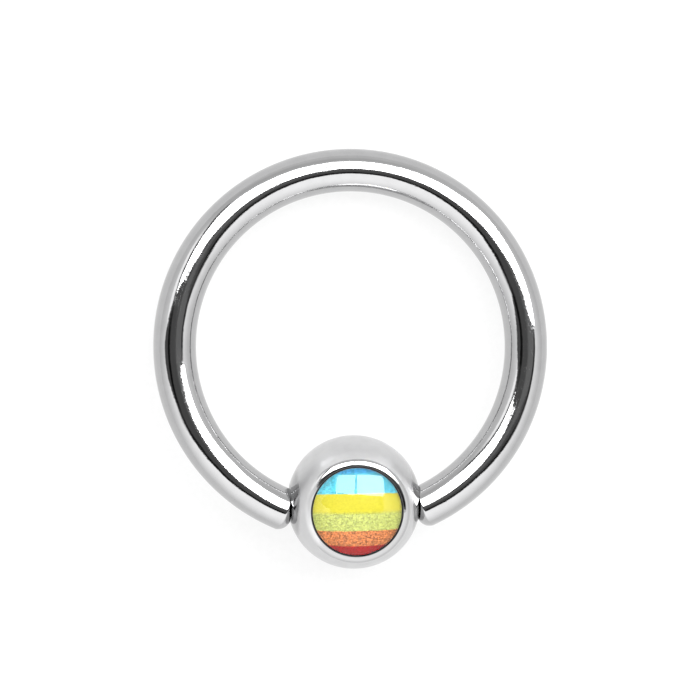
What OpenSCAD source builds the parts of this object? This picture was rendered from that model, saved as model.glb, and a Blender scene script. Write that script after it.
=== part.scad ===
// Captive bead ring, lying on its side.
// A springy open ring of round wire holds a steel bead by two dimples. The bead carries a round striped
// picture under a clear dome, set in a shallow pocket with a rounded lip.
// The ring is drawn flat about its own centre, with the bead towards -Y, and is then laid down so that it
// rests on the bead and on the far side of the wire. Millimetres, +Z up.

/* [Ring] */
// Thickness of the wire
wire_d = 1.6; // [1.2:0.1:2]
// Inside diameter of the ring
ring_inner_d = 11.6; // [10:0.2:14]

/* [Wire ends] */
// Radius of the rounding around each end face
end_round = 0.5; // [0.35:0.05:0.55]
// Depth of an end face below the bead's round surface
end_seat = 0.15; // [0.1:0.01:0.25]
// Clearance between a wire end and its dimple
dimple_clearance = 0.05; // [0.03:0.01:0.08]

/* [Bead] */
// Diameter of the bead
bead_d = 5; // [4.6:0.1:5.6]
// Distance from the bead's centre in to the wire's centreline circle
bead_inset = 0.77; // [0.6:0.01:0.9]
// Turn of the bead on its dimples, which leans the picture away from the ring's centre
picture_turn = 10; // [-20:0.5:20]

/* [Picture] */
// Diameter of the pocket's mouth, inside the lip
pocket_d = 3.4; // [3:0.05:3.6]
// Radius of the polished rounding outside the mouth
lip_round = 0.35; // [0.1:0.05:0.45]
// Depth of the pocket below the top of its lip
pocket_depth = 0.35; // [0.3:0.01:0.5]
// Thickness of the striped disc
disc_t = 0.15; // [0.1:0.01:0.2]
// Clearance around the disc and the dome
pocket_clearance = 0.03; // [0.01:0.01:0.06]

/* [Dome] */
// Depth of the dome's edge below the top of the lip
dome_edge_drop = 0.03; // [0:0.01:0.06]
// Radius of curvature over the flat middle of the dome
crown_round = 3.1; // [2.6:0.1:4]
// Radius of curvature over the steeper shoulder of the dome
shoulder_round = 2.35; // [1.8:0.05:2.6]
// Share of the dome's radius that the flat middle takes
crown_share = 0.45; // [0.3:0.05:0.6]

/* [Hidden] */
$fn = 96;

// Ring and bead
wire_r = wire_d / 2;
ring_r = ring_inner_d / 2 + wire_r;
bead_r = bead_d / 2;
bead_out = ring_r - bead_inset;

// Wire ends: a flat face and a rounding that runs out along the outer side of the wire
blend_proud = 0.01;
end_x = bead_r - end_seat;
round_x = end_x + end_round;
round_out = ring_r + wire_r - end_round + blend_proud;
face_r = sqrt(pow(round_out, 2) - pow(round_x, 2)) - bead_out;
blend_x = round_x * (round_out + end_round - blend_proud) / round_out;
end_length = blend_x - end_x + wire_d;
gap_r = bead_r;

// Pocket and lip
pocket_r = pocket_d / 2;
lip_out = bead_r - lip_round;
lip_z = sqrt(pow(lip_out, 2) - pow(pocket_r, 2));
lip_top = lip_z + lip_round;
lip_lean = asin(pocket_r / lip_out);
floor_z = lip_top - pocket_depth;

// Disc and dome
disc_r = pocket_r - pocket_clearance;
dome_bottom = floor_z + disc_t + pocket_clearance;
dome_edge = lip_top - dome_edge_drop;
crown_r = disc_r * crown_share;
crown_lean = asin(crown_r / crown_round);
shoulder_r = (crown_round - shoulder_round) * sin(crown_lean);
shoulder_z = dome_edge - sqrt(pow(shoulder_round, 2) - pow(disc_r - shoulder_r, 2));
crown_z = shoulder_z - (crown_round - shoulder_round) * cos(crown_lean);

// Rest on the floor, with the origin under the middle of the part
rest_lean = asin((bead_r - wire_r) / (ring_r + bead_out));
rest_lift = wire_r + ring_r * sin(rest_lean);
rest_back = ring_r * cos(rest_lean) + wire_r;
rest_front = bead_out * cos(rest_lean) + bead_r;
rest_shift = (rest_front - rest_back) / 2;

// Lays what is drawn about the ring's centre down on the floor
module laid_down() {
    translate([0, rest_shift, rest_lift])
        rotate([-rest_lean, 0, 0])
            children();
}

// Places what is drawn about the bead's centre, with the picture facing +Z
module on_bead() {
    translate([0, -bead_out, 0])
        rotate([picture_turn, 0, 0])
            children();
}

// Half outline of a wire end about the dimples' line: flat face, then rounding, grown by a clearance
module end_outline(grown) {
    translate([0, end_x - grown])
        square([face_r, end_length]);
    translate([face_r, round_x])
        circle(r = end_round + grown);
}

// Turns a half outline about the dimples' line, on the +X side
module about_dimples() {
    rotate([0, 90, 0])
        rotate_extrude()
            children();
}

// Repeats what is drawn on the +X side on the -X side
module both_sides() {
    for (turn = [0, 180])
        rotate([0, 0, turn])
            children();
}

// What is cut from the full ring at one side of the bead: all but the rounded end
module end_cut() {
    about_dimples()
        difference() {
            square([gap_r, blend_x]);
            end_outline(0);
        }
}

module wire_ring() {
    color("silver")
        laid_down()
            difference() {
                rotate_extrude()
                    translate([ring_r, 0])
                        circle(r = wire_r);
                translate([0, -bead_out, 0])
                    both_sides()
                        end_cut();
            }
}

// Half outline of the bead about the picture's axis: round ball, rounded lip, flat pocket
module bead_outline() {
    difference() {
        circle(r = bead_r);
        translate([-bead_d, -bead_d])
            square([bead_d, bead_d * 2]);
        translate([0, floor_z])
            square([pocket_r, bead_d]);
        difference() {
            polygon([
                [pocket_r, lip_z],
                [pocket_r + bead_d * sin(lip_lean), lip_z + bead_d * cos(lip_lean)],
                [pocket_r, lip_z + bead_d]
            ]);
            translate([pocket_r, lip_z])
                circle(r = lip_round);
        }
    }
}

module bead() {
    color("gainsboro")
        laid_down()
            on_bead()
                difference() {
                    rotate_extrude()
                        bead_outline();
                    both_sides()
                        about_dimples()
                            intersection() {
                                end_outline(dimple_clearance);
                                square([gap_r, round_x]);
                            }
                }
}

module stripe_disc() {
    color("yellowgreen")
        laid_down()
            on_bead()
                translate([0, 0, floor_z])
                    cylinder(r = disc_r, h = disc_t);
}

// Half outline of the dome: straight edge, steeper shoulder, flatter middle
module dome_outline() {
    intersection() {
        translate([0, crown_z])
            circle(r = crown_round);
        translate([0, dome_bottom])
            square([crown_r, crown_round]);
    }
    intersection() {
        translate([shoulder_r, shoulder_z])
            circle(r = shoulder_round);
        translate([crown_r, dome_bottom])
            square([disc_r - crown_r, crown_round]);
    }
}

module clear_dome() {
    color("lightcyan", 0.5)
        laid_down()
            on_bead()
                rotate_extrude()
                    dome_outline();
}

wire_ring();
bead();
stripe_disc();
clear_dome();
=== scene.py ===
"""Captive bead ring lying on its side: its fine pieces, their finishes, the studio and the camera.

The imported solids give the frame. Each sub-assembly below is drawn at one unit to the millimetre, flat
about the ring's own centre or about the bead's, and is then laid down in metres where its solid lies.
"""

import logging
import math
from dataclasses import dataclass, field
from enum import Enum

import bmesh
import bpy
from mathutils import Matrix, Vector


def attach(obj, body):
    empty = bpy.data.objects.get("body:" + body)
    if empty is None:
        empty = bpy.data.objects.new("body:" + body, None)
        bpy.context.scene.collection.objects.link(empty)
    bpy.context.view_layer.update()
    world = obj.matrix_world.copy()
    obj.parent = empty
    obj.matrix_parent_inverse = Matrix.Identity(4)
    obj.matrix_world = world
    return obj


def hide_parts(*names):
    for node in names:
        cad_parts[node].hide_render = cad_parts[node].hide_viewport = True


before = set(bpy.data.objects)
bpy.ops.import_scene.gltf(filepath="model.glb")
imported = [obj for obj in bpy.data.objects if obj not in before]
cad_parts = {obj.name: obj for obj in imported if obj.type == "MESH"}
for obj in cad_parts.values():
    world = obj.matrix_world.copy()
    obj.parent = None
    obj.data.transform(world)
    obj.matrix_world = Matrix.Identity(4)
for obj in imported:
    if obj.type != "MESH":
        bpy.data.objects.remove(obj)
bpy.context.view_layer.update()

LOG = logging.getLogger("bead_ring")
MM = 0.001
WHITE = (1.0, 1.0, 1.0, 1.0)
Triple = tuple[float, float, float]
Colour = Triple
Point = tuple[float, float]
Span = tuple[float, float]
Range = tuple[float, float, float, float]
Socket = bpy.types.NodeSocket
Parts = tuple[Socket, Socket, Socket]
Number = Socket | float
Paint = Socket | Colour


# Sizes, in millimetres


@dataclass(frozen=True)
class RingSizes:
    """Sizes of the ring and of its bead in millimetres, the same as the solids have."""

    wire_d: float = 1.6
    ring_inner_d: float = 11.6
    end_round: float = 0.5
    end_seat: float = 0.15
    dimple_clearance: float = 0.05
    bead_d: float = 5.0
    bead_inset: float = 0.77
    picture_turn: float = 10.0
    pocket_d: float = 3.4
    lip_round: float = 0.35
    pocket_depth: float = 0.35
    disc_t: float = 0.15
    pocket_clearance: float = 0.03
    dome_edge_drop: float = 0.03
    crown_round: float = 3.1
    shoulder_round: float = 2.35
    crown_share: float = 0.45
    blend_proud: float = 0.01

    @property
    def wire_r(self) -> float:
        """Radius of the wire."""
        return self.wire_d / 2

    @property
    def ring_r(self) -> float:
        """Radius of the wire's centreline circle."""
        return self.ring_inner_d / 2 + self.wire_r

    @property
    def bead_r(self) -> float:
        """Radius of the bead."""
        return self.bead_d / 2

    @property
    def bead_out(self) -> float:
        """Distance from the ring's centre to the bead's centre."""
        return self.ring_r - self.bead_inset

    @property
    def end_x(self) -> float:
        """Distance of a wire end's flat face from the bead's centre, along the dimples' line."""
        return self.bead_r - self.end_seat

    @property
    def round_x(self) -> float:
        """Distance of the centre of a wire end's rounding from the bead's centre."""
        return self.end_x + self.end_round

    @property
    def round_out(self) -> float:
        """Distance from the ring's centre to the centre of the rounding, on the outer side."""
        return self.ring_r + self.wire_r - self.end_round + self.blend_proud

    @property
    def face_r(self) -> float:
        """Radius of a wire end's flat face."""
        return math.sqrt(self.round_out**2 - self.round_x**2) - self.bead_out

    @property
    def blend_x(self) -> float:
        """Distance at which the rounding runs out along the outer side of the wire."""
        return self.round_x * (self.round_out + self.end_round - self.blend_proud) / self.round_out

    @property
    def pocket_r(self) -> float:
        """Radius of the pocket."""
        return self.pocket_d / 2

    @property
    def lip_z(self) -> float:
        """Height of the centre of the lip's rounding above the bead's centre."""
        return math.sqrt((self.bead_r - self.lip_round) ** 2 - self.pocket_r**2)

    @property
    def lip_top(self) -> float:
        """Height of the lip's crest."""
        return self.lip_z + self.lip_round

    @property
    def lip_lean(self) -> float:
        """Angle from the picture's axis at which the lip's rounding leaves the ball, in radians."""
        return math.asin(self.pocket_r / (self.bead_r - self.lip_round))

    @property
    def floor_z(self) -> float:
        """Height of the pocket's floor."""
        return self.lip_top - self.pocket_depth

    @property
    def disc_r(self) -> float:
        """Radius of the picture's disc and of the dome."""
        return self.pocket_r - self.pocket_clearance

    @property
    def disc_top(self) -> float:
        """Height of the disc's printed face."""
        return self.floor_z + self.disc_t

    @property
    def dome_bottom(self) -> float:
        """Height of the dome's flat underside."""
        return self.disc_top + self.pocket_clearance

    @property
    def dome_edge(self) -> float:
        """Height of the dome's edge."""
        return self.lip_top - self.dome_edge_drop

    @property
    def rest_lean(self) -> float:
        """Lean of the ring's plane as it lies on the bead and on the far wire, in radians."""
        return math.asin((self.bead_r - self.wire_r) / (self.ring_r + self.bead_out))


@dataclass(frozen=True)
class Resting:
    """Where the pieces lie, as transforms from drawn millimetres to metres in the row frame."""

    sizes: RingSizes

    @property
    def ring(self) -> Matrix:
        """Takes what is drawn about the ring's centre, bead towards -Y, down to the floor.

        Returns:
            The transform to the row frame.
        """
        s = self.sizes
        lean = s.rest_lean
        back = s.ring_r * math.cos(lean) + s.wire_r
        front = s.bead_out * math.cos(lean) + s.bead_r
        place = Vector((0, (front - back) / 2, s.wire_r + s.ring_r * math.sin(lean)))
        return Matrix.Scale(MM, 4) @ Matrix.Translation(place) @ Matrix.Rotation(-lean, 4, "X")

    @property
    def bead(self) -> Matrix:
        """Takes what is drawn about the bead's centre, picture towards +Z, to its place."""
        turn = Matrix.Rotation(math.radians(self.sizes.picture_turn), 4, "X")
        return self.ring @ Matrix.Translation((0, -self.sizes.bead_out, 0)) @ turn

    def point(self, x: float, y: float, z: float) -> Vector:
        """Returns a point drawn about the ring's centre in metres in the row frame."""
        return self.ring @ Vector((x, y, z))


# Modelling steps


class Bench:
    """The modelling steps that the pieces share, each made of operators on one object."""

    same_place = 1e-4

    @staticmethod
    def clear() -> None:
        """Leaves nothing selected and no object in edit mode."""
        if bpy.context.object and bpy.context.object.mode != "OBJECT":
            bpy.ops.object.mode_set(mode="OBJECT")
        bpy.ops.object.select_all(action="DESELECT")

    @staticmethod
    def pick(piece: bpy.types.Object) -> None:
        """Selects one piece alone and makes it the active one.

        Args:
            piece: the object to select.
        """
        Bench.clear()
        piece.select_set(True)
        bpy.context.view_layer.objects.active = piece

    @staticmethod
    def edit(piece: bpy.types.Object, select: str = "SELECT") -> bmesh.types.BMesh:
        """Opens a piece in edit mode.

        Args:
            piece: the object to open.
            select: SELECT or DESELECT, for all of its mesh.

        Returns:
            The mesh as it is being edited.
        """
        Bench.pick(piece)
        bpy.ops.object.mode_set(mode="EDIT")
        bpy.ops.mesh.select_mode(type="VERT")
        bpy.ops.mesh.select_all(action=select)
        return bmesh.from_edit_mesh(piece.data)

    @staticmethod
    def done() -> None:
        """Goes back to object mode."""
        bpy.ops.object.mode_set(mode="OBJECT")

    @staticmethod
    def close() -> None:
        """Merges the seams of the mesh in edit mode, points its faces outwards and leaves edit mode."""
        bpy.ops.mesh.select_all(action="SELECT")
        bpy.ops.mesh.remove_doubles(threshold=Bench.same_place)
        bpy.ops.mesh.normals_make_consistent(inside=False)
        Bench.done()

    @staticmethod
    def name(name: str) -> bpy.types.Object:
        """Names the object just added, and applies its place to its mesh.

        Args:
            name: the name for the object and its mesh.

        Returns:
            The object.
        """
        piece = bpy.context.object
        piece.name = piece.data.name = name
        bpy.ops.object.transform_apply(location=True, rotation=True, scale=True)
        return piece

    @staticmethod
    def draw(name: str, outline: list[Point]) -> bpy.types.Object:
        """Draws half an outline in the XZ plane, by one vertex extruded from point to point.

        Args:
            name: the new object's name.
            outline: points as (distance from the Z axis, height).

        Returns:
            The new object, a chain of edges.
        """
        Bench.clear()
        start = Vector((outline[0][0], 0, outline[0][1]))
        bpy.ops.mesh.primitive_plane_add(size=1, location=start)
        piece = Bench.name(name)
        Bench.edit(piece)
        bpy.ops.mesh.merge(type="CENTER")
        for before, after in zip(outline, outline[1:]):
            step = (after[0] - before[0], 0, after[1] - before[1])
            bpy.ops.mesh.extrude_region_move(TRANSFORM_OT_translate={"value": step})
        Bench.done()
        return piece

    @staticmethod
    def lathe(name: str, outline: list[Point], steps: int) -> bpy.types.Object:
        """Spins half an outline about the Z axis into a closed solid.

        Args:
            name: the new object's name.
            outline: points as (distance from the axis, height), from one pole to the other.
            steps: number of steps in the full turn.

        Returns:
            The new object, with its faces pointing outwards.
        """
        piece = Bench.draw(name, outline)
        Bench.edit(piece)
        bpy.ops.mesh.spin(steps=steps, angle=math.tau, center=(0, 0, 0), axis=(0, 0, 1))
        Bench.close()
        return piece

    @staticmethod
    def cut(piece: bpy.types.Object, tool: bpy.types.Object) -> None:
        """Cuts a tool's shape from a piece and takes the tool away.

        Args:
            piece: the object to cut.
            tool: the closed object that is cut from it.
        """
        Bench.pick(piece)
        cutting = piece.modifiers.new("cut", "BOOLEAN")
        cutting.operation = "DIFFERENCE"
        cutting.solver = "EXACT"
        cutting.object = tool
        bpy.ops.object.modifier_apply(modifier=cutting.name)
        bpy.data.objects.remove(tool)

    @staticmethod
    def lay(piece: bpy.types.Object, place: Matrix) -> None:
        """Moves a piece's mesh to its place in metres, and leaves the object at the origin.

        Args:
            piece: the finished object, drawn in millimetres.
            place: the transform to the row frame.
        """
        Bench.clear()
        piece.data.transform(place)
        piece.data.update()

    @staticmethod
    def smooth(piece: bpy.types.Object, crease: float) -> None:
        """Shades a piece smooth up to a crease angle, given in degrees."""
        Bench.pick(piece)
        bpy.ops.object.shade_smooth_by_angle(angle=math.radians(crease))

    @staticmethod
    def arc(centre: Point, radius: float, start: float, end: float, step: float) -> list[Point]:
        """Draws points along an arc.

        Args:
            centre: its centre.
            radius: its radius.
            start: the angle of its first point from the +Z direction, in degrees.
            end: the angle of its last point.
            step: the largest angle between points.

        Returns:
            The points as (distance from the Z axis, height).
        """
        count = max(2, math.ceil(abs(end - start) / step))
        angles = [math.radians(start + (end - start) * i / count) for i in range(count + 1)]
        return [(centre[0] + radius * math.sin(a), centre[1] + radius * math.cos(a)) for a in angles]


# Node building


@dataclass(frozen=True)
class Grain:
    """Soft noise, by its scale, its number of finer layers and how strong they are."""

    scale: float
    detail: float
    rough: float = 0.5


@dataclass(frozen=True)
class Relief:
    """A shallow relief of a surface, by its strength and its depth in millimetres."""

    strength: float
    depth: float


class NodeSheet:
    """Adds nodes to one tree and links them."""

    row_length = 12
    spacing = (190, 260)

    def __init__(self, tree: bpy.types.NodeTree) -> None:
        """Starts on a tree, and empties it.

        Args:
            tree: the nodes of a material or of the world.
        """
        self.tree = tree
        self.count = 0
        tree.nodes.clear()

    def add(self, kind: str, inputs: dict[str | int, object] | None = None,
            **settings: object) -> bpy.types.Node:
        """Adds a node.

        Args:
            kind: its type's name.
            inputs: what goes into its sockets, each a value or another node's socket.
            settings: its own properties.

        Returns:
            The new node.
        """
        node = self.tree.nodes.new(kind)
        row, column = divmod(self.count, self.row_length)
        node.location = (column * self.spacing[0], -row * self.spacing[1])
        self.count += 1
        for name, value in settings.items():
            setattr(node, name, value)
        for socket, value in (inputs or {}).items():
            if isinstance(value, Socket):
                self.tree.links.new(value, node.inputs[socket])
            else:
                node.inputs[socket].default_value = value
        return node

    def sum(self, operation: str, *terms: Number) -> Socket:
        """Returns the result of a Math node on its terms."""
        return self.add("ShaderNodeMath", dict(enumerate(terms)), operation=operation).outputs[0]

    def far(self, first: Socket, second: Socket) -> Socket:
        """Returns the length of the hypotenuse over two sides."""
        squares = (self.sum("MULTIPLY", side, side) for side in (first, second))
        return self.sum("SQRT", self.sum("ADD", *squares))

    def dot(self, direction: Socket, along: Vector) -> Socket:
        """Returns how far a direction runs along another one."""
        inputs = {0: direction, 1: tuple(along)}
        return self.add("ShaderNodeVectorMath", inputs, operation="DOT_PRODUCT").outputs["Value"]

    def join(self, *parts: Number) -> Socket:
        """Returns the vector of three parts."""
        return self.add("ShaderNodeCombineXYZ", dict(enumerate(parts))).outputs[0]

    def split(self, vector: Socket) -> Parts:
        """Returns the three parts of a vector."""
        return tuple(self.add("ShaderNodeSeparateXYZ", {0: vector}).outputs)

    def grey(self, value: Socket) -> Socket:
        """Returns the grey of a value."""
        return self.add("ShaderNodeCombineColor", {0: value, 1: value, 2: value}).outputs[0]

    def step(self, value: Number, low: float, high: float, start: float = 0.0, end: float = 1.0) -> Socket:
        """Returns a value that eases from start to end while another goes from low to high."""
        inputs = {"Value": value, "From Min": low, "From Max": high, "To Min": start, "To Max": end}
        return self.add("ShaderNodeMapRange", inputs, interpolation_type="SMOOTHSTEP").outputs["Result"]

    def blend(self, share: Number, first: Number, second: Number) -> Socket:
        """Returns a number that goes from first to second with the share."""
        inputs = {"Factor": share, "A": first, "B": second}
        return self.add("ShaderNodeMix", inputs, data_type="FLOAT").outputs["Result"]

    def tint(self, share: Number, first: Paint, second: Paint, way: str = "MIX") -> Socket:
        """Mixes two colours.

        Args:
            share: how much of the second one shows, from 0 to 1.
            first: the colour underneath.
            second: the colour that goes over it.
            way: the way in which it does, MIX or MULTIPLY.

        Returns:
            The mixed colour.
        """
        under, over = (c if isinstance(c, Socket) else (*c, 1.0) for c in (first, second))
        mix = self.add("ShaderNodeMix", {0: share, 6: under, 7: over}, data_type="RGBA", blend_type=way)
        return mix.outputs[2]

    def noise(self, where: Socket, grain: Grain) -> Socket:
        """Returns soft noise at a place, between 0 and 1."""
        inputs = {"Vector": where, "Scale": grain.scale, "Detail": grain.detail, "Roughness": grain.rough}
        return self.add("ShaderNodeTexNoise", inputs).outputs["Fac"]

    def bump(self, height: Socket, relief: Relief, under: Socket | None = None) -> Socket:
        """Presses a relief into the surface.

        Args:
            height: the height of the relief, from 0 to 1.
            relief: its strength and depth.
            under: the relief that it lies on, where there is one.

        Returns:
            The direction that the surface faces.
        """
        inputs = {"Strength": relief.strength, "Distance": relief.depth * MM, "Height": height}
        if under is not None:
            inputs["Normal"] = under
        return self.add("ShaderNodeBump", inputs).outputs[0]

    def own_place(self, place: Matrix) -> Socket:
        """Finds where a point of the surface is on its own piece.

        Args:
            place: the transform that laid the piece down in the row frame.

        Returns:
            The point, in the millimetres that the piece was drawn in.
        """
        where = self.add("ShaderNodeTexCoord").outputs["Object"]
        back = place.inverted()
        rows = [self.dot(where, Vector(back[i][:3])) for i in range(3)]
        return self.join(*(self.sum("ADD", row, back[i][3]) for i, row in enumerate(rows)))


# Finishes


@dataclass(frozen=True)
class Finish:
    """What every finish has: its name, and a material made of one shader."""

    name: str

    def make(self) -> bpy.types.Material:
        """Makes the material.

        Returns:
            The material with all its nodes.
        """
        material = bpy.data.materials.new(self.name)
        material.use_nodes = True
        sheet = NodeSheet(material.node_tree)
        shader = sheet.add("ShaderNodeBsdfPrincipled", self.look(sheet))
        sheet.add("ShaderNodeOutputMaterial", {"Surface": shader.outputs[0]})
        return material

    def look(self, sheet: NodeSheet) -> dict[str | int, object]:
        """Returns the shader's inputs. Each finish has its own."""
        raise NotImplementedError


class Marks(Enum):
    """Fine polishing marks round an axis, by how close they are and how quickly they change along."""

    ALONG_WIRE = (14.0, 1.6)
    ROUND_PICTURE = (10.0, 0.6)


@dataclass(frozen=True)
class PolishedSteel(Finish):
    """Mirror-polished steel with faint marks, a slight mottle and slightly changing gloss."""

    colour: Colour
    marks: Marks
    place: Matrix
    marks_grain: Grain = Grain(1.0, 4.0, 0.65)
    marks_share: float = 0.5
    cloud_grain: Grain = Grain(2.3, 3.0)
    gloss: Range = (0.35, 0.68, 0.03, 0.09)
    cloud_span: Span = (0.3, 0.7)
    cloud_shade: float = 0.955
    wave_grain: Grain = Grain(0.7, 1.0)
    wave: Relief = Relief(0.05, 0.3)
    mottle_grain: Grain = Grain(9.0, 2.0)
    mottle: Relief = Relief(0.13, 0.01)
    scratch: Relief = Relief(0.06, 0.02)

    def look(self, sheet: NodeSheet) -> dict[str | int, object]:
        """Makes the steel's colour, gloss and relief.

        Args:
            sheet: where nodes are added.

        Returns:
            The shader's inputs.
        """
        own = sheet.own_place(self.place)
        parts = sheet.split(own)
        from_axis = sheet.far(parts[0], parts[1])
        close, along = self.marks.value
        turned = sheet.sum("MULTIPLY", sheet.sum("ARCTAN2", parts[1], parts[0]), along)
        lined = sheet.join(*(sheet.sum("MULTIPLY", part, close) for part in (from_axis, parts[2])), turned)
        marks = sheet.noise(lined, self.marks_grain)
        cloud = sheet.noise(own, self.cloud_grain)
        gloss = sheet.step(sheet.blend(self.marks_share, marks, cloud), *self.gloss)
        tone = sheet.tint(sheet.step(cloud, *self.cloud_span), self.colour, self.shaded(self.cloud_shade))
        gloss, tone = self.by_place(sheet, gloss, tone, parts, from_axis)
        relief = sheet.bump(sheet.noise(own, self.wave_grain), self.wave)
        relief = sheet.bump(sheet.noise(own, self.mottle_grain), self.mottle, relief)
        relief = sheet.bump(marks, self.scratch, relief)
        return {"Base Color": tone, "Metallic": 1.0, "Roughness": gloss, "Normal": relief}

    def shaded(self, share: float) -> Colour:
        """Returns the steel's colour, darkened to a share of it."""
        return tuple(share * c for c in self.colour)

    def by_place(self, sheet: NodeSheet, gloss: Socket, tone: Socket, parts: Parts,
                 from_axis: Socket) -> tuple[Socket, Socket]:
        """Changes the finish from place to place, here not at all.

        Args:
            sheet: where nodes are added.
            gloss: the roughness of the polished steel.
            tone: its colour.
            parts: the three coordinates on the piece, in millimetres.
            from_axis: the distance from the piece's own axis.

        Returns:
            The roughness and the colour.
        """
        return gloss, tone


@dataclass(frozen=True)
class BeadSteel(PolishedSteel):
    """Satin steel, polished on its lip and round its dimples, with painted shade there and in its pocket.

    The lip's polish and its painted shade stop on the -X side. Spans are in millimetres, lip_fade's from the
    lip's outer edge and mouth's from the pocket's wall.
    """

    lip_in: float = 1.7
    lip_out: float = 1.9
    lip_fade: Span = (-0.03, 0.01)
    # Painted shade: the lip's colour is darkened to these shares, most at the pocket's edge; the next span
    # ends it on -X.
    lip_shade: Span = (0.64, 0.85)
    lip_left_fade: Span = (-1.6, -1.25)
    front: Span = (0.5, 0.9)
    # Polish and painted shade: near the dimples the steel is polished and darkened where the wire ends meet
    # the ball.
    dimple_polish_and_shade: Span = (2.06, 2.2)
    satin: float = 0.3
    mouth: Span = (0.012, 0.032)
    # The pocket's roughness, then its painted shade: darkened nearly to black, standing for the shade in the
    # recess.
    pocket_rough: float = 0.5
    pocket_shade_tone: float = 0.1

    def by_place(self, sheet: NodeSheet, gloss: Socket, tone: Socket, parts: Parts,
                 from_axis: Socket) -> tuple[Socket, Socket]:
        """Makes the ball satin, the lip and dimple rims polished, with painted shade on them and in the
        pocket.

        Args:
            sheet: where nodes are added.
            gloss: the roughness of the polished steel.
            tone: its colour.
            parts: the three coordinates on the piece, in millimetres.
            from_axis: the distance from the picture's axis.

        Returns:
            The roughness and the colour.
        """
        front = sheet.step(parts[2], *self.front)
        lip_end, lip_gone = (self.lip_out + fade for fade in self.lip_fade)
        on_lip = sheet.sum("MULTIPLY", front, sheet.step(from_axis, lip_end, lip_gone, 1.0, 0.0))
        on_lip = sheet.sum("MULTIPLY", on_lip, sheet.step(parts[0], *self.lip_left_fade))
        by_dimple = sheet.step(sheet.sum("ABSOLUTE", parts[0]), *self.dimple_polish_and_shade)
        satin = sheet.sum("ADD", gloss, self.satin)
        polished = sheet.sum("MAXIMUM", on_lip, by_dimple)
        # Painted shade: the pocket's inside and the lip's innermost edge are darkened nearly to black.
        mouth_end, mouth_gone = (self.lip_in + fade for fade in self.mouth)
        in_pocket = sheet.sum("MULTIPLY", front, sheet.step(from_axis, mouth_end, mouth_gone, 1.0, 0.0))
        # Painted shade: the lip is darkened, most at the pocket's edge, standing for the shade and dark
        # reflections there.
        inner, outer = (self.shaded(share) for share in self.lip_shade)
        darker = sheet.tint(sheet.step(from_axis, self.lip_in, self.lip_out), inner, outer)
        # Painted shade: round the dimples, where the wire ends meet the ball, the steel takes the lip's
        # darkest shade.
        shown = sheet.tint(by_dimple, sheet.tint(on_lip, tone, darker), inner)
        return (sheet.blend(in_pocket, sheet.blend(polished, satin, gloss), self.pocket_rough),
                sheet.tint(in_pocket, shown, self.shaded(self.pocket_shade_tone)))


@dataclass(frozen=True)
class Stripe:
    """One printed stripe, with its start as a share of the radius up from the middle."""

    colour: Colour
    bottom: float
    soft: float = 0.012
    grain: float = 0.3


@dataclass(frozen=True)
class StripePrint(Finish):
    """A matt print of plain colour stripes, with grainy brushed ink and slightly uneven borders."""

    place: Matrix
    radius: float
    stripes: tuple[Stripe, ...]
    wander: float = 0.02
    border_grain: Grain = Grain(7.0, 3.0, 0.7)
    stretch: Triple = (0.55, 1.6, 1.0)
    brush_grain: Grain = Grain(15.0, 4.0, 0.75)
    fleck_scale: float = 21.0
    fleck_share: float = 0.45
    mean: Triple = (0.33, 0.33, 0.34)
    ink: Range = (0.33, 0.67, -1.0, 0.7)
    matt: Range = (0.2, 0.9, 0.5, 0.32)
    relief: Relief = Relief(0.12, 0.02)

    def look(self, sheet: NodeSheet) -> dict[str | int, object]:
        """Lays the stripes one over the other, from the lowest up, and grains their ink.

        Args:
            sheet: where nodes are added.

        Returns:
            The shader's inputs.
        """
        own = sheet.own_place(self.place)
        edge_noise = sheet.sum("SUBTRACT", sheet.noise(own, self.border_grain), 0.5)
        height = sheet.sum("DIVIDE", sheet.split(own)[1], self.radius)
        height = sheet.sum("MULTIPLY_ADD", edge_noise, self.wander * 2, height)
        colour, grain = self.stripes[0].colour, self.stripes[0].grain
        for stripe, above in zip(self.stripes, self.stripes[1:]):
            share = sheet.step(height, above.bottom - above.soft, above.bottom + above.soft)
            colour = sheet.tint(share, colour, above.colour)
            grain = sheet.blend(share, grain, above.grain)
        stretched = sheet.add("ShaderNodeVectorMath", {0: own, 1: self.stretch}, operation="MULTIPLY")
        brushed = sheet.noise(stretched.outputs[0], self.brush_grain)
        speckle = sheet.add("ShaderNodeTexVoronoi", {"Vector": own, "Scale": self.fleck_scale})
        fleck = sheet.dot(speckle.outputs["Color"], Vector(self.mean))
        rough_ink = sheet.blend(self.fleck_share, brushed, fleck)
        shade = sheet.sum("MULTIPLY_ADD", sheet.step(rough_ink, *self.ink), grain, 1.0)
        inked = sheet.tint(1.0, colour, sheet.grey(shade), "MULTIPLY")
        return {"Base Color": inked, "Roughness": sheet.step(fleck, *self.matt),
                "Normal": sheet.bump(rough_ink, self.relief), "Specular IOR Level": 0.0}


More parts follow.
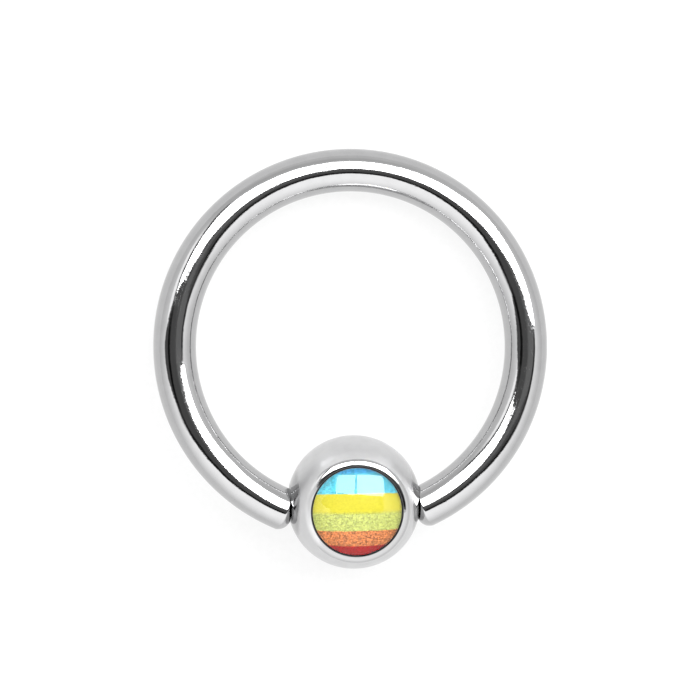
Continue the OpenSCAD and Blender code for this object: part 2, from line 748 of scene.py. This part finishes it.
@dataclass(frozen=True)
class ClearResin(Finish):
    """Clear cast resin with a glossy, very slightly uneven skin and a dark band of painted shade round its
    rim.

    The painted shade's span is in millimetres from the rim.
    """

    place: Matrix
    rim: float
    clear: Colour = (0.985, 0.99, 1.0)
    bend: float = 1.46
    skin_grain: Grain = Grain(1.6, 2.0)
    skin: Relief = Relief(0.02, 0.1)
    smear_grain: Grain = Grain(6.0, 3.0)
    smear: Range = (0.4, 0.75, 0.0, 0.03)
    # Painted shade: a dark opaque band at the rim stands for the shaded gap between the resin and the
    # pocket's wall.
    rim_shade_span: Span = (-0.024, -0.016)
    rim_shade_colour: Colour = (0.012, 0.012, 0.014)

    def look(self, sheet: NodeSheet) -> dict[str | int, object]:
        """Makes the resin clear up to the band of painted shade at its rim.

        Args:
            sheet: where nodes are added.

        Returns:
            The shader's inputs.
        """
        own = sheet.own_place(self.place)
        x, y, _ = sheet.split(own)
        # Painted shade: near the rim the resin turns dark and opaque in place of the shaded gap at the
        # pocket's edge.
        shade_start, shade_full = (self.rim + inwards for inwards in self.rim_shade_span)
        rim_shaded = sheet.step(sheet.far(x, y), shade_start, shade_full)
        return {"Base Color": sheet.tint(rim_shaded, self.clear, self.rim_shade_colour), "IOR": self.bend,
                "Roughness": sheet.step(sheet.noise(own, self.smear_grain), *self.smear),
                "Transmission Weight": sheet.sum("SUBTRACT", 1.0, rim_shaded),
                "Normal": sheet.bump(sheet.noise(own, self.skin_grain), self.skin)}


@dataclass(frozen=True)
class PaleFloor(Finish):
    """Matt pale paper with a very faint tooth, lit from below as on a light table: shadows stay faint."""

    tooth_grain: Grain = Grain(4200.0, 2.0)
    tooth_span: Span = (0.3, 0.7)
    shade: Span = (0.07125, 0.075)
    glow: Span = (0.87, 0.88)
    glow_tooth: Span = (0.988, 1.0)
    reach: float = 0.013
    rough: float = 0.95

    def look(self, sheet: NodeSheet) -> dict[str | int, object]:
        """Makes the paper's colour and its glow.

        Args:
            sheet: where nodes are added.

        Returns:
            The shader's inputs.
        """
        where = sheet.add("ShaderNodeTexCoord").outputs["Object"]
        tooth = sheet.noise(where, self.tooth_grain)
        colour = sheet.grey(sheet.step(tooth, *self.tooth_span, *self.shade))
        glow = sheet.sum("MULTIPLY", sheet.step(sheet.split(where)[1], -self.reach, self.reach, *self.glow),
                         sheet.step(tooth, *self.tooth_span, *self.glow_tooth))
        return {"Base Color": colour, "Roughness": self.rough, "Specular IOR Level": 0.0,
                "Emission Strength": glow, "Emission Color": WHITE}


# Sub-assemblies


@dataclass
class Fitting:
    """What every sub-assembly has: its sizes, its place, its body, its solid, and the name of a material
    slot, which is not used.
    """

    sizes: RingSizes
    resting: Resting
    body: str
    node: str
    slot: str
    turns: int = 256
    crease: float = 35.0
    piece: bpy.types.Object | None = field(default=None, init=False)

    def seat(self, piece: bpy.types.Object, place: Matrix) -> None:
        """Lays the finished piece down, shades it and ties it to its body and its solid.

        Args:
            piece: the finished object.
            place: the transform to the row frame.
        """
        Bench.lay(piece, place)
        Bench.smooth(piece, self.crease)
        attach(piece, self.body)
        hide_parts(self.node)
        self.piece = piece

    def dress(self, material: bpy.types.Material) -> None:
        """Gives the piece and the solid that it stands for the same finish.

        Args:
            material: the finish.
        """
        for thing in (self.piece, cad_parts[self.node]):
            thing.data.materials.clear()
            thing.data.materials.append(material)

    def report(self) -> None:
        """Logs the piece's name, its faces, its body and the solid that it stands for."""
        faces = len(self.piece.data.polygons)
        LOG.info("%s: %d faces, on %s, stands for %s", self.piece.name, faces, self.body, self.node)


@dataclass
class SpringWire(Fitting):
    """The springy open ring: round wire with two rounded ends that face each other across the bead.

    It is spun up to open_angle on both sides of the bead. From there blend_rows rows turn square to the
    dimples' line, at square_x from the bead's middle, and straight_rows lead on to the end's rounding.
    """

    crease: float = 50.0
    sides: int = 96
    steps: int = 480
    open_angle: float = 37.0
    square_x: float = 3.4
    blend_rows: int = 14
    straight_rows: int = 5
    round_step: float = 3.5
    face_rings: Triple = (0.93, 0.7, 0.35)
    halvings: int = 40
    phases: list[float] = field(default_factory=list, init=False)

    def build(self) -> None:
        """Spins the wire, then draws out and shapes both of its ends."""
        s = self.sizes
        start = math.radians(-90 + self.open_angle)
        Bench.clear()
        middle = (s.ring_r * math.cos(start), s.ring_r * math.sin(start), 0)
        bpy.ops.mesh.primitive_circle_add(vertices=self.sides, radius=s.wire_r, location=middle,
                                          rotation=(math.pi / 2, 0, start))
        piece = Bench.name("wire")
        self.number_sides(piece, start)
        Bench.edit(piece)
        bpy.ops.mesh.spin(steps=self.steps, angle=-(math.tau - 2 * math.radians(self.open_angle)),
                          center=(0, 0, 0), axis=(0, 0, 1))
        for side in (1, -1):
            self.draw_out_end(piece, side)
        Bench.close()
        piece.data.attributes.remove(piece.data.attributes["side"])
        self.seat(piece, self.resting.ring)

    def number_sides(self, piece: bpy.types.Object, start: float) -> None:
        """Numbers the vertices of the wire's section, so that every row spun or extruded keeps the numbers.

        Args:
            piece: the section, a circle in a plane through the ring's axis.
            start: the angle of that plane about the ring's axis, in radians.
        """
        outwards = Vector((math.cos(start), math.sin(start), 0))
        numbers = piece.data.attributes.new("side", "INT", "POINT")
        for vertex, number in zip(piece.data.vertices, numbers.data):
            number.value = vertex.index
            from_middle = vertex.co - outwards * self.sizes.ring_r
            self.phases.append(math.atan2(from_middle.z, from_middle.dot(outwards)))

    def draw_out_end(self, piece: bpy.types.Object, side: int) -> None:
        """Extrudes one end of the wire row by row, and sets each row on the wire or on the end's rounding.

        Args:
            piece: the wire, open in edit mode.
            side: 1 for the end on the +X side, -1 for the other.
        """
        mesh = bmesh.from_edit_mesh(piece.data)
        bpy.ops.mesh.select_all(action="DESELECT")
        for edge in mesh.edges:
            if edge.is_boundary and edge.verts[0].co.x * side > 0:
                edge.select_set(True)
        bmesh.update_edit_mesh(piece.data)
        for row in self.rows(side):
            bpy.ops.mesh.extrude_region_move(TRANSFORM_OT_translate={"value": (0, 0, 0)})
            mesh = bmesh.from_edit_mesh(piece.data)
            number = mesh.verts.layers.int["side"]
            for vertex in mesh.verts:
                if vertex.select:
                    vertex.co = row[vertex[number]]
            bmesh.update_edit_mesh(piece.data)
        bpy.ops.mesh.merge(type="CENTER")

    def rows(self, side: int) -> list[list[Vector]]:
        """Finds the places of the rows of one end, from the spun wire in to the flat face.

        Args:
            side: 1 for the end on the +X side, -1 for the other.

        Returns:
            A place for each vertex of each row, by the vertex's number.
        """
        s = self.sizes
        lean = math.radians(self.open_angle)
        outwards = Vector((side * math.sin(lean), -math.cos(lean), 0))
        spun = [outwards * (s.ring_r + s.wire_r * math.cos(p)) + Vector((0, 0, s.wire_r * math.sin(p)))
                for p in self.phases]
        square = self.cross_row(side, self.square_x)
        rows = []
        for i in range(1, self.blend_rows):
            share = i / self.blend_rows
            rows.append([self.on_wire(a.lerp(b, share)) for a, b in zip(spun, square)])
        rows.append(square)
        rows += [self.cross_row(side, self.square_x + (s.blend_x - self.square_x) * i / self.straight_rows)
                 for i in range(1, self.straight_rows)]
        last = math.degrees(math.acos((s.round_x - s.blend_x) / s.end_round))
        count = math.ceil(last / self.round_step)
        leans = [math.radians(last * (1 - i / count)) for i in range(count + 1)]
        rows += [self.cross_row(side, s.round_x - s.end_round * math.cos(lean)) for lean in leans]
        face = self.cross_row(side, s.end_x)
        middle = Vector((side * s.end_x, -s.bead_out, 0))
        rows += [[middle.lerp(place, share) for place in face] for share in self.face_rings]
        return rows

    def cross_row(self, side: int, x: float) -> list[Vector]:
        """Finds a row square to the dimples' line.

        Args:
            side: 1 for the end on the +X side, -1 for the other.
            x: its distance from the bead's middle plane.

        Returns:
            A place for each vertex of the row, by the vertex's number.
        """
        s = self.sizes
        limit = math.inf
        if x < s.blend_x:
            limit = s.face_r + math.sqrt(max(0.0, s.end_round**2 - (x - s.round_x) ** 2))
        row = []
        for phase in self.phases:
            reach = min(limit, self.wire_reach(x, phase))
            row.append(Vector((side * x, -s.bead_out - reach * math.cos(phase), reach * math.sin(phase))))
        return row

    def wire_reach(self, x: float, phase: float) -> float:
        """Finds how far the wire's surface is from the dimples' line, by halving.

        Args:
            x: the distance from the bead's middle plane.
            phase: the direction about the line, from outwards to +Z, in radians.

        Returns:
            The distance.
        """
        s = self.sizes
        near, far = 0.0, s.bead_r
        for _ in range(self.halvings):
            reach = (near + far) / 2
            across = math.hypot(x, s.bead_out + reach * math.cos(phase)) - s.ring_r
            if math.hypot(across, reach * math.sin(phase)) < s.wire_r:
                near = reach
            else:
                far = reach
        return near

    def on_wire(self, place: Vector) -> Vector:
        """Returns the point of the wire's surface nearest to a place."""
        middle = Vector((place.x, place.y, 0)).normalized() * self.sizes.ring_r
        return middle + (place - middle).normalized() * self.sizes.wire_r


@dataclass
class SteelBead(Fitting):
    """The steel ball with its rounded lip, its shallow pocket and its two dimples. Steps are in degrees."""

    ball_step: float = 1.6
    lip_step: float = 3.0
    lip_edge: float = 0.01
    edge_step: float = 30.0
    dimple_step: float = 5.0
    dimple_turns: int = 96
    tool_past: float = 0.4

    def build(self) -> None:
        """Spins the ball about the picture's axis and cuts a dimple from each side."""
        s = self.sizes
        lip = math.degrees(s.lip_lean)
        outline = Bench.arc((0, 0), s.bead_r, 180.0, lip, self.ball_step)
        outline += Bench.arc((s.pocket_r, s.lip_z), s.lip_round, lip, self.lip_step, self.lip_step)[1:]
        inner_edge = (s.pocket_r + self.lip_edge, s.lip_top - self.lip_edge)
        outline += Bench.arc(inner_edge, self.lip_edge, 0.0, -90.0, self.edge_step)
        outline += [(s.pocket_r, s.floor_z), (0.0, s.floor_z)]
        piece = Bench.lathe("steel_bead", outline, self.turns)
        for side in (1, -1):
            Bench.cut(piece, self.dimple_shape(side))
        self.seat(piece, self.resting.bead)

    def dimple_shape(self, side: int) -> bpy.types.Object:
        """Makes the shape that a dimple is cut with, a wire end grown by the clearance.

        Args:
            side: 1 for the dimple on the +X side, -1 for the other.

        Returns:
            The closed shape.
        """
        s = self.sizes
        grown = s.end_round + s.dimple_clearance
        rounding = Bench.arc((s.face_r, s.round_x), grown, 180.0, 90.0, self.dimple_step)
        past = s.round_x + self.tool_past
        outline = [(0.0, s.end_x - s.dimple_clearance), *rounding, (s.face_r + grown, past), (0.0, past)]
        shape = Bench.lathe("dimple_shape", outline, self.dimple_turns)
        shape.data.transform(Matrix.Rotation(side * math.pi / 2, 4, "Y"))
        return shape


@dataclass
class StripePicture(Fitting):
    """The thin printed disc on the pocket's floor."""

    edge_bevel: float = 0.02
    bevel_steps: int = 3
    edge_gap: float = 0.01
    face_inset: float = 0.05

    def build(self) -> None:
        """Makes the disc from a cylinder with bevelled edges and inset faces."""
        s = self.sizes
        radius = s.disc_r - self.edge_gap
        Bench.clear()
        bpy.ops.mesh.primitive_cylinder_add(vertices=self.turns, radius=radius, depth=s.disc_t,
                                            location=(0, 0, s.floor_z + s.disc_t / 2))
        piece = Bench.name("stripe_picture")
        mesh = Bench.edit(piece, "DESELECT")
        for face in mesh.faces:
            face.select_set(not math.isclose(face.normal.z, 0.0, abs_tol=0.1))
        bmesh.update_edit_mesh(piece.data)
        bpy.ops.mesh.inset(thickness=self.face_inset, depth=0.0)
        mesh = Bench.edit(piece, "DESELECT")
        for edge in mesh.edges:
            low, high = (v.co for v in edge.verts)
            on_rim = all(math.hypot(place.x, place.y) > radius - self.face_inset / 2 for place in (low, high))
            if on_rim and math.isclose(low.z, high.z, abs_tol=Bench.same_place):
                edge.select_set(True)
        bmesh.update_edit_mesh(piece.data)
        bpy.ops.mesh.bevel(offset=self.edge_bevel, segments=self.bevel_steps, affect="EDGES")
        Bench.done()
        self.seat(piece, self.resting.bead)


@dataclass
class ClearDome(Fitting):
    """The clear resin dome over the picture, flatter in its middle than at its shoulder."""

    sunk: float = 0.005
    arc_step: float = 1.2

    def build(self) -> None:
        """Spins the dome's outline about the picture's axis."""
        s = self.sizes
        crown_r = s.disc_r * s.crown_share
        lean = math.asin(crown_r / s.crown_round)
        shoulder_r = (s.crown_round - s.shoulder_round) * math.sin(lean)
        shoulder_z = s.dome_edge - math.sqrt(s.shoulder_round**2 - (s.disc_r - shoulder_r) ** 2)
        crown_z = shoulder_z - (s.crown_round - s.shoulder_round) * math.cos(lean)
        edge = math.degrees(math.asin((s.disc_r - shoulder_r) / s.shoulder_round))
        bottom = s.disc_top - self.sunk
        outline = [(0.0, bottom), (s.disc_r, bottom), (s.disc_r, (bottom + s.dome_edge) / 2)]
        join = math.degrees(lean)
        outline += Bench.arc((shoulder_r, shoulder_z), s.shoulder_round, edge, join, self.arc_step)
        outline += Bench.arc((0.0, crown_z), s.crown_round, join, 0.0, self.arc_step)[1:]
        self.seat(Bench.lathe("clear_resin_dome", outline, self.turns), self.resting.bead)


# Studio


@dataclass(frozen=True)
class LightCard:
    """A bright or dark card round the camera, by its place in degrees from the camera's axis.

    across and up are its middle, half_across and half_up its half sizes. squareness is 2 for an oval and more
    for a squarer card, soft is the width of its edge as a share of its size, and lean tips it to the right.
    """

    name: str
    strength: float
    across: float
    up: float
    half_across: float
    half_up: float
    squareness: float = 6.0
    soft: float = 0.1
    lean: float = 0.0


@dataclass
class Studio:
    """The pale floor, the soft light from cards round the camera, and the camera at the photograph's angle.

    distance, frame_width and aim are in millimetres, clip and floor_r in metres, and the angles in degrees.
    """

    resting: Resting
    cards: tuple[LightCard, ...]
    room: float
    backdrop: float
    distance: float = 110.0
    frame_width: float = 26.228
    aim: Point = (-0.0392, -0.1415)
    lean_left: float = 4.4
    roll: float = 1.0
    sensor: float = 36.0
    clip: Span = (0.005, 20.0)
    floor_r: float = 1.0
    floor_sides: int = 128

    def build(self) -> None:
        """Makes the floor, the light and the camera."""
        self.lay_floor()
        self.set_camera()
        self.hang_cards()
        bpy.context.scene.view_settings.view_transform = "Standard"
        bpy.context.scene.view_settings.look = "None"

    def lay_floor(self) -> None:
        """Lays a wide pale floor under the ring."""
        Bench.clear()
        bpy.ops.mesh.primitive_circle_add(vertices=self.floor_sides, radius=self.floor_r, fill_type="NGON",
                                          location=(0, 0, 0))
        floor = Bench.name("floor")
        floor.data.materials.append(PaleFloor("pale_paper").make())

    def camera_axes(self) -> tuple[Vector, Vector, Vector]:
        """Finds which way the camera is turned.

        Returns:
            Its right, up and backward directions in the row frame.
        """
        lean, roll = math.radians(self.lean_left), math.radians(self.roll)
        turned = self.resting.ring.to_3x3().normalized()
        back = Vector((-math.sin(lean), 0, math.cos(lean)))
        up = Vector((0, 1, 0))
        right = up.cross(back)
        rolled_up = up * math.cos(roll) + right * math.sin(roll)
        rolled_right = right * math.cos(roll) - up * math.sin(roll)
        return turned @ rolled_right, turned @ rolled_up, turned @ back

    def set_camera(self) -> None:
        """Places the camera over the ring and frames it as the photograph does."""
        right, up, back = self.camera_axes()
        target = self.resting.point(0, 0, 0) + (right * self.aim[0] + up * self.aim[1]) * MM
        lens = bpy.data.cameras.new("camera")
        lens.sensor_width = self.sensor
        lens.lens = self.sensor * self.distance / self.frame_width
        lens.clip_start, lens.clip_end = self.clip
        camera = bpy.data.objects.new("camera", lens)
        bpy.context.scene.collection.objects.link(camera)
        place = Matrix((right, up, back)).transposed().to_4x4()
        place.translation = target + back * self.distance * MM
        camera.matrix_world = place
        bpy.context.scene.camera = camera

    def hang_cards(self) -> None:
        """Makes the light: an even room, cards round the camera, and a plain backdrop that it alone sees."""
        world = bpy.data.worlds.new("studio")
        world.use_nodes = True
        bpy.context.scene.world = world
        sheet = NodeSheet(world.node_tree)
        towards = sheet.add("ShaderNodeTexCoord").outputs["Generated"]
        right, up, back = self.camera_axes()
        x, y, z = (sheet.dot(towards, axis) for axis in (right, up, back))
        off_axis = sheet.far(x, y)
        spread = sheet.sum("DIVIDE", sheet.sum("DEGREES", sheet.sum("ARCTAN2", off_axis, z)),
                           sheet.sum("MAXIMUM", off_axis, 1e-5))
        across, height = sheet.sum("MULTIPLY", x, spread), sheet.sum("MULTIPLY", y, spread)
        light: Number = self.room
        for card in self.cards:
            light = sheet.blend(self.card_share(sheet, card, across, height), light, card.strength)
        camera_ray = sheet.add("ShaderNodeLightPath").outputs["Is Camera Ray"]
        shown = sheet.blend(camera_ray, light, self.backdrop)
        glow = sheet.add("ShaderNodeBackground", {"Color": WHITE, "Strength": shown})
        sheet.add("ShaderNodeOutputWorld", {"Surface": glow.outputs[0]})

    @staticmethod
    def card_share(sheet: NodeSheet, card: LightCard, across: Socket, height: Socket) -> Socket:
        """Finds how much of a direction a card fills.

        Args:
            sheet: where the nodes are added.
            card: the card.
            across: the direction's angle to the right of the camera's axis, in degrees.
            height: its angle above the axis.

        Returns:
            The share, from 0 to 1.
        """
        up = sheet.sum("SUBTRACT", height, card.up)
        side = sheet.sum("SUBTRACT", across, card.across)
        if card.lean:
            side = sheet.sum("MULTIPLY_ADD", up, -card.lean, side)
        parts = []
        for value, half in ((side, card.half_across), (up, card.half_up)):
            share = sheet.sum("DIVIDE", sheet.sum("ABSOLUTE", value), half)
            parts.append(sheet.sum("POWER", share, card.squareness))
        reach = sheet.sum("POWER", sheet.sum("ADD", *parts), 1.0 / card.squareness)
        return sheet.step(reach, 1.0 - card.soft, 1.0 + card.soft, 1.0, 0.0)


# The ring


WIRE_STEEL = (0.46, 0.46, 0.464)
BEAD_STEEL = (0.59, 0.59, 0.594)

STRIPES = (
    Stripe((0.345, 0.001, 0.001), -2.0, grain=0.3),
    Stripe((0.52, 0.165, 0.048), -0.742, grain=0.7),
    Stripe((0.42, 0.46, 0.115), -0.41, grain=0.38),
    Stripe((0.57, 0.51, 0.048), -0.027, 0.05, 0.07),
    Stripe((0.10, 0.51, 0.67), 0.378, grain=0.35),
    Stripe((0.06, 0.35, 0.68), 0.822, 0.03),
)

CARDS = (
    LightCard("pale lower room", 1.88, 4.0, -29.0, 57.0, 56.0, squareness=2.0, soft=0.7),
    LightCard("grey over the window", 0.78, -8.0, 56.0, 42.0, 10.0, squareness=2.0, soft=0.6),
    LightCard("pale left panel", 1.9, -41.0, 12.0, 5.5, 24.0, squareness=4.0, soft=0.4),
    LightCard("dark strip", 0.12, 7.0, -7.5, 40.0, 13.5, squareness=8.0, soft=0.12),
    LightCard("dark strip's paler right half", 0.24, 26.0, -1.5, 17.0, 6.0, squareness=3.0, soft=0.3),
    LightCard("dark strip's lower edge", 0.015, 6.0, -18.0, 38.0, 4.0, soft=0.3),
    LightCard("dark strip's left end", 0.01, -27.0, -5.0, 6.5, 11.0, soft=0.2),
    LightCard("dark strip's right end", 0.05, 43.0, -6.0, 4.0, 8.0, soft=0.3),
    LightCard("window's left pane", 11.0, 12.0, 23.5, 39.0, 18.5, squareness=9.0, soft=0.04),
    LightCard("window's right pane", 13.4, 28.2, 23.5, 22.8, 18.5, squareness=9.0, soft=0.04),
    LightCard("dark bar", 0.2, -31.0, 24.0, 4.0, 22.0, soft=0.2, lean=-0.1),
    LightCard("window's mullion", 1.5, 5.4, 23.5, 1.5, 18.5, soft=0.2),
    LightCard("sill at the window's left", 0.12, -24.0, -2.0, 27.0, 12.5, squareness=2.0, soft=0.05),
    LightCard("strip's left end under the sill", 0.01, -27.0, -3.0, 6.0, 10.0, soft=0.3),
)


def main() -> None:
    """Builds the pieces in order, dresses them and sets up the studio."""
    logging.basicConfig(level=logging.INFO, format="%(message)s")
    sizes = RingSizes()
    resting = Resting(sizes)
    wire = SpringWire(sizes, resting, "ring", "wire_ring", "wire_steel")
    bead = SteelBead(sizes, resting, "bead", "bead", "bead_steel")
    picture = StripePicture(sizes, resting, "bead", "stripe_disc", "stripe_print")
    dome = ClearDome(sizes, resting, "bead", "clear_dome", "clear_resin")
    wire_finish = PolishedSteel("wire_steel_polish", WIRE_STEEL, Marks.ALONG_WIRE, resting.ring)
    bead_finish = BeadSteel("bead_steel_polish", BEAD_STEEL, Marks.ROUND_PICTURE, resting.bead,
                            lip_in=sizes.pocket_r, lip_out=sizes.bead_r * math.sin(sizes.lip_lean))
    picture_finish = StripePrint("stripe_ink", resting.bead, sizes.disc_r, STRIPES)
    dome_finish = ClearResin("clear_cast_resin", resting.bead, sizes.disc_r)
    for fitting, finish in ((wire, wire_finish), (bead, bead_finish), (picture, picture_finish),
                            (dome, dome_finish)):
        fitting.build()
        fitting.dress(finish.make())
        fitting.report()
    Studio(resting, CARDS, room=0.95, backdrop=0.97).build()


if __name__ == "__main__":
    main()
